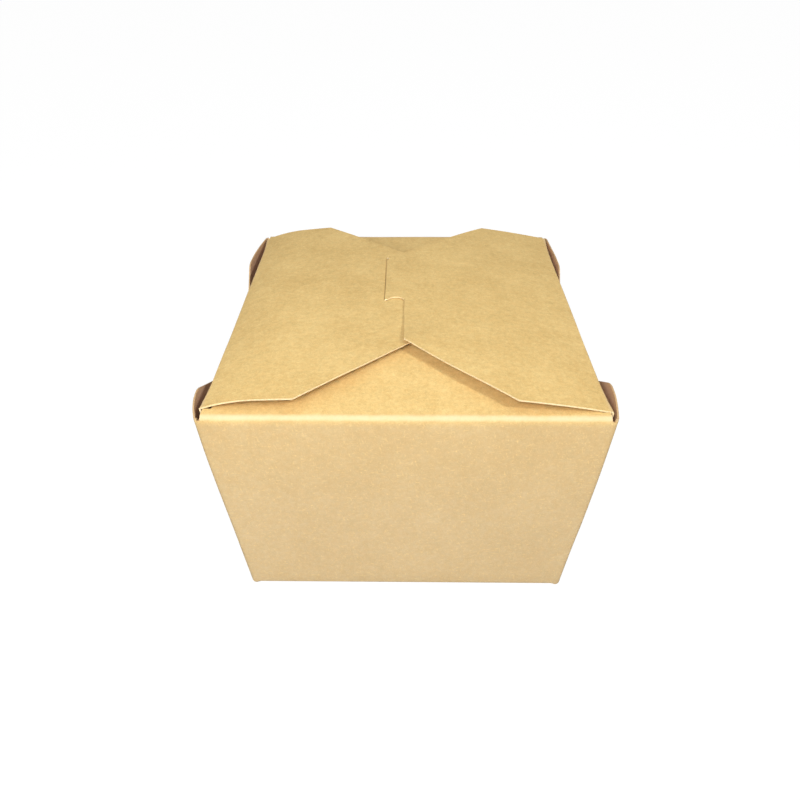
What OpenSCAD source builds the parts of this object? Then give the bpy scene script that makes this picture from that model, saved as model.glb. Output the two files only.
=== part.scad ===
// Takeaway box folded from one sheet of kraft board.
// The corners are webs that are folded flat along a diagonal and lie outside the side walls,
// so the tray has no cut below its rim. Front and rear flaps lie under the two side flaps.
// The right flap's tongue is tucked into a slit in the left flap.
// X runs across the box, the front wall faces -Y, and the base stands on z = 0.

/* [Tray] */
// Width of the base between the outer faces of the side walls
base_width = 90; // [80:1:98]
// Depth of the base over the front and rear walls
base_depth = 113.5; // [104:0.5:122]
// Width of the rim between the outer faces of the side walls
rim_width = 105; // [100:0.5:112]
// Depth of the rim over the front and rear walls
rim_depth = 130; // [125:0.5:136]
// Height of the rim above the table
rim_height = 64; // [52:1:80]

/* [Board] */
// Thickness of the board
board = 0.45; // [0.35:0.05:0.6]
// Outer radius of a soft fold
fold_r = 1.3; // [1:0.1:1.6]
// Air between two layers that lie on each other
layer_gap = 0.12; // [0.08:0.02:0.2]

/* [Web corners] */
// How far the outer leaf of a web stands off the side wall at the rim corner
web_stand_off = 1.7; // [1.5:0.1:2.2]
// How far the same leaf flares out at the end of its level top edge
web_flare = 3; // [2.6:0.1:3.6]
// Length of the level top edge of a web, from the rim corner
web_level = 16; // [12:1:18]
// Radius where the top edge turns down
web_round = 10; // [6:1:14]
// Slope below level at which the top edge then runs to the diagonal fold
web_fall = 26; // [20:1:40]
// Drop of a web's top edge below the rim
web_drop = 0.8; // [0.6:0.1:1.2]

/* [Side flaps] */
// Rise of the closed right flap above the rim, at the middle
crown = 5.6; // [4.8:0.2:8]
// Distance from the middle to where a closed flap turns down to its hinge line
crown_knee = 38; // [34:1:42]
// Drop of the closed left flap from the middle to there
left_fall = 1.5; // [1.1:0.1:2]
// Drop of the closed right flap from the middle to there
right_fall = 2.9; // [2.6:0.1:3.2]
// Half length of a side flap's hinge line
flap_root = 60.9; // [54:0.1:62]
// Half width of a side flap where its cut corners start
flap_half = 62.9; // [55:0.1:63.4]
// Distance from the middle of the box to the start of the cut corners
flap_vertex = 28.8; // [22:0.2:34]
// Half length of the seam between the cut corners
flap_tip = 34; // [31:1:42]
// Distance of the right flap's free edge past the middle of the box
free_edge = 0.5; // [0:0.1:1.5]
// Length of the left flap hidden under the right flap, past the middle
hidden_lap = 6; // [4:0.5:10]
// Air between a moving edge and the board beside it
clearance = 0.2; // [0.15:0.01:0.3]

/* [End flaps] */
// Depth of the front and rear flaps
end_flap = 44; // [32:1:50]
// Half width of the front and rear flaps next to their fold
end_flap_root = 51.8; // [44:0.1:51.9]
// How far the front and rear flaps step in under the hinge lines
end_flap_step = 1.6; // [1.4:0.1:3]
// Half width of the front and rear flaps at their free edge
end_flap_half = 38; // [30:1:42]
// Size of the cut corners at their free edge
end_flap_cut = 6; // [2:1:10]

/* [Tongue and slit] */
// Distance of the slit from the middle of the box
slit_offset = 6.5; // [5.5:0.5:9]
// Opening of the slit
slit_width = 1.1; // [1.05:0.05:1.3]
// Front end of the tongue
tongue_front = -6.5; // [-12:0.5:-2]
// Play of the tongue along the slit, at each end
tongue_play = 1; // [0.5:0.1:2]
// Depth to which the tongue dips below the top of its own flap
tongue_dip = 2.4; // [2:0.1:3.5]
// Outer radius of the tongue's bend
tongue_bend = 0.7; // [0.65:0.05:0.9]
// Radius of the round end of the notch between the tongue and the free edge of its flap
notch_r = 2.7; // [1:0.1:2.9]
// How far the notch runs on behind the tongue's front end
notch_rise = 1.5; // [0.5:0.1:2]

/* [Hidden] */

kraft = "burlywood";
kraft_light = "tan";
reach = 200;
arc_steps = 360;
// The two arcs of a side flap overlap by this angle and step by this depth, to join firmly
weld_angle = 1;
weld_depth = 0.01;

// A layer of board with the air beside it, and half a board
lap = board + layer_gap;
half_board = board / 2;

// The tray's folds turn about centres that run from the base up to the rim
end_run = (rim_depth - base_depth) / 2;
side_run = (rim_width - base_width) / 2;
fold_rise = rim_height - 2 * fold_r;
end_lean = atan(end_run / fold_rise);
side_lean = atan(side_run / fold_rise);
function centre_x(t, low_off, high_off) =
    base_width / 2 + low_off - fold_r + t * (side_run + high_off - low_off);
function centre_y(t) = base_depth / 2 - fold_r + t * end_run;
function centre_z(t) = fold_r + t * fold_rise;
over = 1 + 3 * fold_r / fold_rise;

// A web fills what the base and two walls leave of a full turn, and folds along its middle
web_angle = (90 - atan(side_run / norm([end_run, fold_rise]))
    - atan(end_run / norm([side_run, fold_rise]))) / 2;
fold_angle = web_angle - end_lean;
web_apex = base_depth / 2 - fold_r;
web_top = rim_height - web_drop;
web_arc_y = rim_depth / 2 - web_level;
web_arc_z = web_top - web_round;
web_end_y = web_arc_y - web_round * sin(web_fall);
web_end_z = web_arc_z + web_round * cos(web_fall);
// The falling edge and the diagonal fold meet here
web_tip_z = (web_apex - web_end_y + web_end_z / tan(web_fall))
    / (tan(fold_angle) + 1 / tan(web_fall));
web_tip_y = web_apex - web_tip_z * tan(fold_angle);

// The side flaps turn about the middle of the board at the top of the side walls
hinge_z = rim_height - half_board;
hinge_t = (hinge_z - fold_r) / fold_rise;
hinge_x = centre_x(hinge_t, 0, 0) + (fold_r - half_board) / cos(side_lean);
left_rise = crown - board - clearance;

// A closed side flap is a wide arc over the middle and a tighter one down to the hinge line.
// It stands at hinge_z + rise at the middle, and drops by fall to the knee between the arcs.
function wide_radius(fall) = (crown_knee * crown_knee + fall * fall) / (2 * fall);
function knee_angle(fall) = asin(crown_knee / wide_radius(fall));
function knee_normal(fall) = [sin(knee_angle(fall)), cos(knee_angle(fall))];
function knee(rise, fall) = [crown_knee, hinge_z + rise - fall];
function knee_to_hinge(rise, fall) = [hinge_x, hinge_z] - knee(rise, fall);
function side_radius(rise, fall) = -knee_to_hinge(rise, fall) * knee_to_hinge(rise, fall)
    / (2 * knee_to_hinge(rise, fall) * knee_normal(fall));
function side_centre(rise, fall) = knee(rise, fall) - side_radius(rise, fall) * knee_normal(fall);
function hinge_angle(rise, fall) =
    atan2(hinge_z - side_centre(rise, fall).y, hinge_x - side_centre(rise, fall).x);

// Edge of the cut corner of a side flap, at a distance x from the middle
corner_slope = (flap_half - flap_tip) / flap_vertex;
function corner_y(x) = flap_tip + corner_slope * x;
tongue_rear = corner_y(-slit_offset);

// Rounded block with a ball at each corner of the tray. It widens beside the hinge lines
// by flare, and it is cut back at the front and rear by set_back.
module tray_block(ball, low_off, high_off, flare, set_back) {
    hull()
        for (side = [-1, 1], end = [-1, 1]) {
            translate([side * centre_x(0, low_off, high_off), end * (centre_y(0) - set_back), fold_r])
                sphere(r = ball, $fn = 24);
            translate([side * centre_x(over, low_off, high_off),
                    end * (centre_y(over) - set_back), centre_z(over)])
                sphere(r = ball, $fn = 24);
            translate([side * centre_x(over, low_off, flare),
                    end * (web_arc_y - set_back), centre_z(over)])
                sphere(r = ball, $fn = 24);
        }
}

module tray_shell(low_off, high_off, flare, set_back) {
    difference() {
        tray_block(fold_r, low_off, high_off, flare, set_back);
        tray_block(fold_r - board, low_off, high_off, flare, set_back);
    }
}

// A profile drawn in y and z, drawn out across the box from x0 to x1
module across(x0, x1) {
    translate([x0, 0, 0])
        rotate([90, 0, 90])
            linear_extrude(x1 - x0)
                children();
}

// A profile drawn in x and z, drawn out along the box from y0 to y1
module along(y0, y1) {
    translate([0, y1, 0])
        rotate([90, 0, 0])
            linear_extrude(y1 - y0)
                children();
}

// Side view of the two webs at the rear and front, with the walls that they hang on
module web_outline() {
    for (end = [-1, 1])
        scale([end, 1])
            polygon(concat(
                [[reach, -fold_r], [web_apex, -fold_r], [web_apex, 0], [web_tip_y, web_tip_z]],
                [for (a = [web_fall:-web_fall / 8:0])
                    [web_arc_y - web_round * sin(a), web_arc_z + web_round * cos(a)]],
                [[reach, web_top]]));
}

// Side view of what lies between the webs
module between_webs() {
    difference() {
        translate([-reach / 2, -fold_r])
            square([reach, rim_height + reach]);
        web_outline();
    }
}

// Front view of the room between the folds of the side walls
module core_outline() {
    low = centre_x(0, 0, 0);
    high = centre_x(over, 0, 0);
    polygon([[-low, -fold_r], [low, -fold_r], [low, fold_r], [high, centre_z(over)],
        [high, reach], [-high, reach], [-high, centre_z(over)], [-low, fold_r]]);
}

// Side view of the room between the folds of the end walls
module depth_outline() {
    low = centre_y(0);
    high = centre_y(over);
    polygon([[-low, -fold_r], [low, -fold_r], [low, fold_r], [high, centre_z(over)],
        [high, reach], [-high, reach], [-high, centre_z(over)], [-low, fold_r]]);
}

module ring_sector(r, from, to, steps = 48) {
    intersection() {
        difference() {
            circle(r = r, $fn = steps);
            circle(r = r - board, $fn = steps);
        }
        polygon([[0, 0], for (k = [0:4]) 3 * r * [cos(from + (to - from) * k / 4),
            sin(from + (to - from) * k / 4)]]);
    }
}

// Base, front and rear walls, and the outer leaves of the four webs that go on from them
module base_and_ends() {
    difference() {
        tray_shell(2 * lap, web_stand_off, web_flare, 0);
        difference() {
            across(-reach / 2, reach / 2)
                between_webs();
            tray_block(fold_r, 0, 0, 0, 0);
        }
        translate([-reach / 2, -reach / 2, web_top])
            cube([reach, reach, reach]);
        translate([-centre_x(1, 0, web_stand_off), -reach / 2, centre_z(1) - fold_r * sin(end_lean)])
            cube([2 * centre_x(1, 0, web_stand_off), reach, reach]);
    }
}

// Side walls up to their hinge lines
module side_walls() {
    difference() {
        intersection() {
            tray_shell(0, 0, 0, 0);
            across(-reach / 2, reach / 2)
                depth_outline();
        }
        along(-reach / 2, reach / 2)
            core_outline();
        translate([-reach / 2, -reach / 2, hinge_z])
            cube([reach, reach, reach]);
        translate([hinge_x, flap_root + clearance, hinge_z])
            rotate([90, 0, 0])
                cylinder(r = half_board + clearance / 2, h = 2 * (flap_root + clearance), $fn = 48);
    }
}

// Inner leaves of the webs, behind the outer ones
module inner_leaves() {
    difference() {
        intersection() {
            tray_shell(lap, lap, web_flare - lap, 0);
            across(-reach / 2, reach / 2)
                depth_outline();
            across(-reach / 2, reach / 2)
                web_outline();
        }
        along(-reach / 2, reach / 2)
            core_outline();
    }
}

module rod(p, q, r) {
    d = q - p;
    translate(p)
        rotate([0, acos(d.z / norm(d)), atan2(d.y, d.x)])
            cylinder(r = r, h = norm(d), $fn = 24);
}

// The folds of one web: along the corner of the side wall, and along the diagonal
module web_folds() {
    out = fold_r - half_board;
    turn = (board + lap) / 2;
    tip_t = (web_tip_z - fold_r) / fold_rise;
    rod([centre_x(0, lap / 2, lap / 2) + out, centre_y(0), fold_r],
        [centre_x(1, lap / 2, lap / 2) + out, centre_y(1), centre_z(1)], turn);
    rod([centre_x(0, 3 * lap / 2, 0) + out, web_apex, fold_r],
        [centre_x(tip_t, 3 * lap / 2, web_flare - lap / 2) + out, web_tip_y, web_tip_z], turn);
}

// A front or rear flap with the soft fold that it hangs on
module end_flap_panel() {
    step = min(flap_root + 2 * clearance, centre_y(1) - fold_r);
    edge = rim_depth / 2 - end_flap;
    intersection() {
        across(-reach / 2, reach / 2)
            union() {
                translate([centre_y(1), centre_z(1)])
                    ring_sector(fold_r, -end_lean, 90);
                translate([edge, rim_height - board])
                    square([centre_y(1) - edge, board]);
            }
        linear_extrude(reach)
            for (side = [-1, 1])
                scale([side, 1])
                    polygon([[0, edge], [end_flap_half - end_flap_cut, edge],
                        [end_flap_half, edge + end_flap_cut],
                        [end_flap_root - end_flap_step, step - 2 * clearance],
                        [end_flap_root, step], [end_flap_root, centre_y(1) - fold_r / 2],
                        [hinge_x, centre_y(1)],
                        [hinge_x, reach], [0, reach]]);
    }
}

// Top view of a side flap that hangs on the hinge line at +X and ends at x = last
module flap_outline(last) {
    for (end = [-1, 1])
        scale([1, end])
            polygon([[last, 0], [hinge_x, 0], [hinge_x, flap_root], [flap_vertex, flap_half],
                [last, corner_y(last)]]);
}

// Crowned side flap at +X: its two arcs, and the bead of its crease
module crowned_flap(rise, fall) {
    turn = knee_angle(fall);
    intersection() {
        along(-reach / 2, reach / 2)
            union() {
                translate([0, hinge_z + rise - wide_radius(fall)])
                    ring_sector(wide_radius(fall) + half_board, 90 - turn, 90 + turn, arc_steps);
                translate(side_centre(rise, fall) - weld_depth * knee_normal(fall))
                    ring_sector(side_radius(rise, fall) + half_board,
                        hinge_angle(rise, fall) - weld_angle, 90 - turn + weld_angle, arc_steps);
            }
        translate([0, 0, rim_height - fold_r])
            linear_extrude(crown + 2 * fold_r)
                children();
    }
    translate([hinge_x, flap_root, hinge_z])
        rotate([90, 0, 0])
            cylinder(r = half_board, h = 2 * flap_root, $fn = 48);
}

// Left flap with the slit
module left_flap() {
    difference() {
        mirror([1, 0, 0])
            crowned_flap(left_rise, left_fall)
                flap_outline(-hidden_lap);
        translate([-slit_offset - slit_width / 2, tongue_front - tongue_play, rim_height])
            cube([slit_width, tongue_rear - tongue_front + 2 * tongue_play, reach]);
    }
}

// Top view of what is cut away in front of the tongue
module notch_outline() {
    notch_y = tongue_front + notch_rise - notch_r;
    translate([-reach, -reach])
        square([reach - free_edge, reach + notch_y]);
    translate([-reach, -reach])
        square([reach - free_edge - notch_r, reach + tongue_front]);
    translate([-free_edge - notch_r, notch_y])
        circle(r = notch_r, $fn = 48);
}

// Everything that hangs together while the box is shut, apart from the right flap
module carton() {
    color(kraft) {
        base_and_ends();
        side_walls();
        inner_leaves();
        for (side = [-1, 1], end = [-1, 1])
            scale([side, end, 1])
                web_folds();
        for (end = [0, 180])
            rotate([0, 0, end])
                end_flap_panel();
        left_flap();
    }
}

// Right flap, with the tongue that dips through the slit
module right_flap() {
    tongue_x = -slit_offset - half_board + tongue_bend;
    radius = wide_radius(right_fall);
    tongue_z = hinge_z + crown - radius + sqrt(radius * radius - tongue_x * tongue_x) + half_board;
    color(kraft_light) {
        crowned_flap(crown, right_fall)
            difference() {
                flap_outline(tongue_x);
                notch_outline();
            }
        along(tongue_front, tongue_rear)
            union() {
                translate([tongue_x, tongue_z - tongue_bend])
                    ring_sector(tongue_bend, 90, 180);
                translate([tongue_x - tongue_bend, tongue_z - tongue_dip])
                    square([board, tongue_dip - tongue_bend]);
            }
    }
}

carton();
right_flap();
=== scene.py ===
"""Takeaway box of kraft board: the folded sheet, its finish and a plain studio.

The sheet is modelled in millimetres on the same folds as the frame's solids, and brought
to metres when a piece is finished. X runs across the box, the front wall faces -Y.
"""

import logging
import math
from collections.abc import Callable, Iterable
from dataclasses import dataclass
from enum import Enum

import bmesh
import bpy
from mathutils import Matrix, Vector, noise


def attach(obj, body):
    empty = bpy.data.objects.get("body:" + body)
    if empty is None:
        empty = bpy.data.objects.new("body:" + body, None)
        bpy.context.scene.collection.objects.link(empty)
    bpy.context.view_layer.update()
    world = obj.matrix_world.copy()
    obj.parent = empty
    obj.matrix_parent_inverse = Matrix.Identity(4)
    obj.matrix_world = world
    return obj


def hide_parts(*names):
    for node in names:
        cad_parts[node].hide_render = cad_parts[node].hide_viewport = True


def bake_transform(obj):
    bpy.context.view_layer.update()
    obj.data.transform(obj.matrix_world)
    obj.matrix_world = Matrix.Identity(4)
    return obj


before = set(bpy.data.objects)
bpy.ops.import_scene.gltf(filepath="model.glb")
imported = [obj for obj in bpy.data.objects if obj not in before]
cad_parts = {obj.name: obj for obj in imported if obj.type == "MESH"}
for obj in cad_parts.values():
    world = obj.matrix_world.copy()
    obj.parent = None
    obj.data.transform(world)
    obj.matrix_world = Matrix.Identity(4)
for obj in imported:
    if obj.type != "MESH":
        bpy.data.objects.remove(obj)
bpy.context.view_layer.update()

logging.basicConfig(level=logging.INFO, format="%(message)s")
log = logging.getLogger("takeaway_box")

PHOTO_SIDE = 800
NOISE_SEED = 7
MM = 0.001
# Millimetres within which a point belongs to a row, and within which doubles are merged.
NEAR = 0.02
MERGE = 0.004
# Millimetres round a cut in which faces may be divided.
CUT_REACH = 4.0
SMOOTH_ANGLE = 40
FOLD_STEPS = 6

Test = Callable[[Vector], bool]
Move = Callable[[Vector], Vector]
Plane = tuple[Vector, Vector]
Finishes = Iterable[bpy.types.Material]
Triple = tuple[float, float, float]
Zone = tuple[float, float]
Stops = tuple[Zone, ...]
Rgb = tuple[int, int, int]


def share(value: float, low: float, high: float) -> float:
    """How far a value has come from low to high, held between 0 and 1."""
    return min(max((value - low) / (high - low), 0), 1)


class Side(Enum):
    """The hand of a side wall or web, as the sign of its x."""

    LEFT = -1
    RIGHT = 1


class End(Enum):
    """The end of the box that a wall or web belongs to, as the sign of its y."""

    FRONT = -1
    REAR = 1


@dataclass(frozen=True)
class WebShape:
    """Place of one web, and its outer leaf's top edge and stance in millimetres and degrees."""

    side: Side
    end: End
    level: float
    fall: float
    flare: float


@dataclass(frozen=True)
class BoxSizes:
    """Sizes of the folded sheet, in millimetres and degrees."""

    base_width: float = 90.0
    base_depth: float = 113.5
    rim_width: float = 105.0
    rim_depth: float = 130.0
    rim_height: float = 64.0
    board: float = 0.45
    fold_r: float = 1.3
    crease_r: float = 0.55
    layer_gap: float = 0.12
    web_stand_off: float = 1.7
    inner_drop: float = 1.0
    corner_reach: float = 0.7
    web_round: float = 10.0
    web_drop: float = 0.8
    crown: float = 5.6
    crown_knee: float = 38.0
    left_fall: float = 1.5
    right_fall: float = 2.9
    flap_root: float = 60.9
    right_root: float = 62.3
    flap_half: float = 62.9
    flap_vertex: float = 28.8
    flap_tip: float = 34.0
    free_edge: float = 0.5
    hidden_lap: float = 6.0
    clearance: float = 0.2
    end_flap: float = 44.0
    end_flap_root: float = 51.8
    end_flap_rim: float = 52.3
    end_flap_step: float = 1.6
    end_flap_half: float = 38.0
    end_flap_cut: float = 6.0
    front_lift: float = 0.09
    rear_lift: float = 0.03
    slit_offset: float = 6.5
    slit_left: float = -6.81
    slit_right: float = -5.95
    slit_rear_play: float = 3.2
    tongue_front: float = -5.1
    tongue_dip: float = 2.4
    tongue_bend: float = 0.45
    notch_r: float = 2.7
    notch_rise: float = 1.5
    hinge_strip: float = 2.0
    hinge_splay: float = 0.7
    tip_lift: float = 1.0

    def root(self, side: Side) -> float:
        """Half width of a side flap at its hinge line."""
        return self.right_root if side is Side.RIGHT else self.flap_root

    @property
    def lap(self) -> float:
        """A layer of board with the air beside it."""
        return self.board + self.layer_gap

    @property
    def half_board(self) -> float:
        """Half the thickness of the board."""
        return self.board / 2

    @property
    def end_run(self) -> float:
        """How far an end wall leans out, from base to rim."""
        return (self.rim_depth - self.base_depth) / 2

    @property
    def side_run(self) -> float:
        """How far a side wall leans out, from base to rim."""
        return (self.rim_width - self.base_width) / 2

    @property
    def fold_rise(self) -> float:
        """Height between the centres of the lower and upper soft folds."""
        return self.rim_height - 2 * self.fold_r

    @property
    def end_lean(self) -> float:
        """Lean of an end wall, in radians."""
        return math.atan2(self.end_run, self.fold_rise)

    @property
    def side_lean(self) -> float:
        """Lean of a side wall, in radians."""
        return math.atan2(self.side_run, self.fold_rise)

    @property
    def side_out(self) -> Vector:
        """Way that the side wall at +X faces, as x and z."""
        return Vector((math.cos(self.side_lean), -math.sin(self.side_lean)))

    @property
    def side_up(self) -> Vector:
        """Way up the side wall at +X, as x and z."""
        return Vector((math.sin(self.side_lean), math.cos(self.side_lean)))

    @property
    def end_wall_top(self) -> float:
        """Height where an end wall's flat part meets the fold at the rim."""
        return self.rim_height - self.fold_r * (1 + math.sin(self.end_lean))

    @property
    def web_fold_angle(self) -> float:
        """Angle of a web's diagonal fold from the vertical, seen from the side, in radians."""
        side = math.atan2(self.side_run, math.hypot(self.end_run, self.fold_rise))
        end = math.atan2(self.end_run, math.hypot(self.side_run, self.fold_rise))
        return (math.pi / 2 - side - end) / 2 - self.end_lean

    @property
    def web_apex(self) -> float:
        """Distance of a web's lowest point from the middle, along the box."""
        return self.base_depth / 2 - self.fold_r

    @property
    def web_top(self) -> float:
        """Height of a web's level top edge."""
        return self.rim_height - self.web_drop

    @property
    def hinge_z(self) -> float:
        """Height of the side flaps' hinge lines."""
        return self.rim_height - self.half_board

    @property
    def hinge_x(self) -> float:
        """Distance of the side flaps' hinge lines from the middle."""
        rise = (self.hinge_z - self.fold_r) / self.fold_rise
        return self.centre_x(rise) + (self.fold_r - self.half_board) / math.cos(self.side_lean)

    @property
    def corner_slope(self) -> float:
        """Slope of a side flap's cut corners."""
        return (self.flap_half - self.flap_tip) / self.flap_vertex

    def centre_x(self, rise: float, low: float = 0.0, high: float = 0.0) -> float:
        """Fold centre of a side wall or leaf.

        Args:
            rise: 0 at the lower fold, 1 at the upper one.
            low: Stand-off from the side wall at the lower fold.
            high: Stand-off from the side wall at the upper fold.

        Returns:
            Distance of the centre from the middle, across the box.
        """
        return self.base_width / 2 + low - self.fold_r + rise * (self.side_run + high - low)

    def centre_y(self, rise: float) -> float:
        """Distance of an end wall's fold centre from the middle, along the box."""
        return self.base_depth / 2 - self.fold_r + rise * self.end_run

    def web_x(self, rise: float) -> float:
        """Distance of a web's corner fold centre from the middle, across the box."""
        return self.centre_x(rise, 2 * self.lap, self.web_stand_off)

    def side_x(self, z: float) -> float:
        """Distance of a side wall's outer face from the middle, at a height."""
        return self.centre_x(self.rise_at(z)) + self.fold_r

    def rise_at(self, z: float) -> float:
        """Share of the way from the lower fold centre to the upper one."""
        return (z - self.fold_r) / self.fold_rise

    def end_half(self, z: float) -> float:
        """Half width of an end wall's flat part.

        Args:
            z: Height, where the part below the lower fold's centre belongs to the fold.

        Returns:
            Distance from the middle, across the box.
        """
        if z < self.fold_r:
            return self.centre_x(0, 2 * self.lap * z / self.fold_r)
        return self.web_x(min(self.rise_at(z), 1))

    def wall_point(self, length: float) -> Vector:
        """The point x and z of the outer face at a length up the side wall at +X."""
        return (Vector((self.centre_x(0), self.fold_r)) + self.side_out * self.fold_r
                + self.side_up * length)


@dataclass(frozen=True)
class CrownProfile:
    """Cross-section of a closed side flap's outer face: two arcs, and the crease beside them."""

    sizes: BoxSizes
    side: Side

    @property
    def rise(self) -> float:
        """Height of the middle of the board above the hinge line, at the middle of the box."""
        s = self.sizes
        return s.crown if self.side is Side.RIGHT else s.crown - s.board - s.clearance

    @property
    def fall(self) -> float:
        """Drop from there to the knee between the two arcs."""
        return self.sizes.right_fall if self.side is Side.RIGHT else self.sizes.left_fall

    @property
    def wide_radius(self) -> float:
        """Radius of the arc over the middle."""
        s = self.sizes
        return (s.crown_knee**2 + self.fall**2) / (2 * self.fall) + s.half_board

    @property
    def wide_z(self) -> float:
        """Height of that arc's centre, under the middle of the box."""
        return self.sizes.hinge_z + self.rise + self.sizes.half_board - self.wide_radius

    @property
    def knee_angle(self) -> float:
        """Slope where the two arcs meet, in radians."""
        return math.asin(self.sizes.crown_knee / (self.wide_radius - self.sizes.half_board))

    @property
    def side_radius(self) -> float:
        """Radius of the arc that runs down to the hinge line.

        Returns:
            The radius of the circle through the knee and the hinge line, tangent at the knee.
        """
        s = self.sizes
        way = Vector((s.hinge_x - s.crown_knee, self.fall - self.rise))
        normal = Vector((math.sin(self.knee_angle), math.cos(self.knee_angle)))
        return -way.length_squared / (2 * way.dot(normal)) + s.half_board

    def side_centre(self) -> Vector:
        """Centre of that arc, as x and z for the side at +X."""
        reach = self.wide_radius - self.side_radius
        return Vector((reach * math.sin(self.knee_angle),
                       self.wide_z + reach * math.cos(self.knee_angle)))

    def crease_centre(self) -> Vector:
        """Centre of the crease that is tangent to the side wall and to the side arc.

        Returns:
            The centre as a vector of x and z, for the side at +X.
        """
        s = self.sizes
        wall = s.side_out.dot(Vector((s.centre_x(0), s.fold_r))) + s.fold_r
        foot = s.side_out * (wall - s.crease_r) - self.side_centre()
        along = foot.dot(s.side_up)
        reach = (self.side_radius - s.crease_r) ** 2 - foot.length_squared
        return foot + self.side_centre() + s.side_up * (math.sqrt(along**2 + reach) - along)

    def crease_end(self) -> float:
        """Angle of the outer face's normal above +X where crease and arc meet, in radians."""
        way = self.crease_centre() - self.side_centre()
        return math.atan2(way.y, way.x)

    def wall_length(self) -> float:
        """Length of the side wall's flat part, from the lower fold to the crease."""
        s = self.sizes
        return (self.crease_centre() + s.side_out * s.crease_r - s.wall_point(0)).length

    def height(self, x: float) -> float:
        """Height of the outer face at a distance x from the middle, inside the knee."""
        return self.wide_z + math.sqrt(self.wide_radius**2 - x * x)


@dataclass(frozen=True)
class Warp:
    """Unevenness that all the panels share, in millimetres.

    The board waves above its level foot, and the front wall's foot stands out and its rim back.
    """

    sizes: BoxSizes
    wave: float = 0.22
    wave_scale: float = 0.028
    ripple: float = 0.05
    ripple_scale: float = 0.09
    calm_z: Zone = (3.0, 23.0)
    foot_y: float = 57.0
    foot_out: float = 0.65
    foot_skew: float = 0.2
    foot_wide: float = 0.3
    rim_back: float = 1.0
    rim_y: Zone = (46.0, 64.0)
    rim_z: Zone = (36.0, 64.0)

    def moved(self, p: Vector) -> Vector:
        """Moves a point with the board.

        Args:
            p: A point of the even sheet.

        Returns:
            Its new place.
        """
        waves = (noise.noise_vector(p * self.wave_scale) * self.wave
                 + noise.noise_vector(p * self.ripple_scale) * self.ripple)
        right = p.x * 2 / self.sizes.base_width
        foot = max(-p.y / self.foot_y, 0) * max(1 - p.z / self.sizes.rim_height, 0)
        shift = Vector((self.foot_wide * max(right, 0), -self.foot_out - self.foot_skew * right, 0))
        rim = share(-p.y, *self.rim_y) * share(p.z, *self.rim_z) ** 2
        drift = waves * share(p.z, *self.calm_z) + shift * foot
        return p + drift + Vector((0, self.rim_back * rim, 0))


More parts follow.
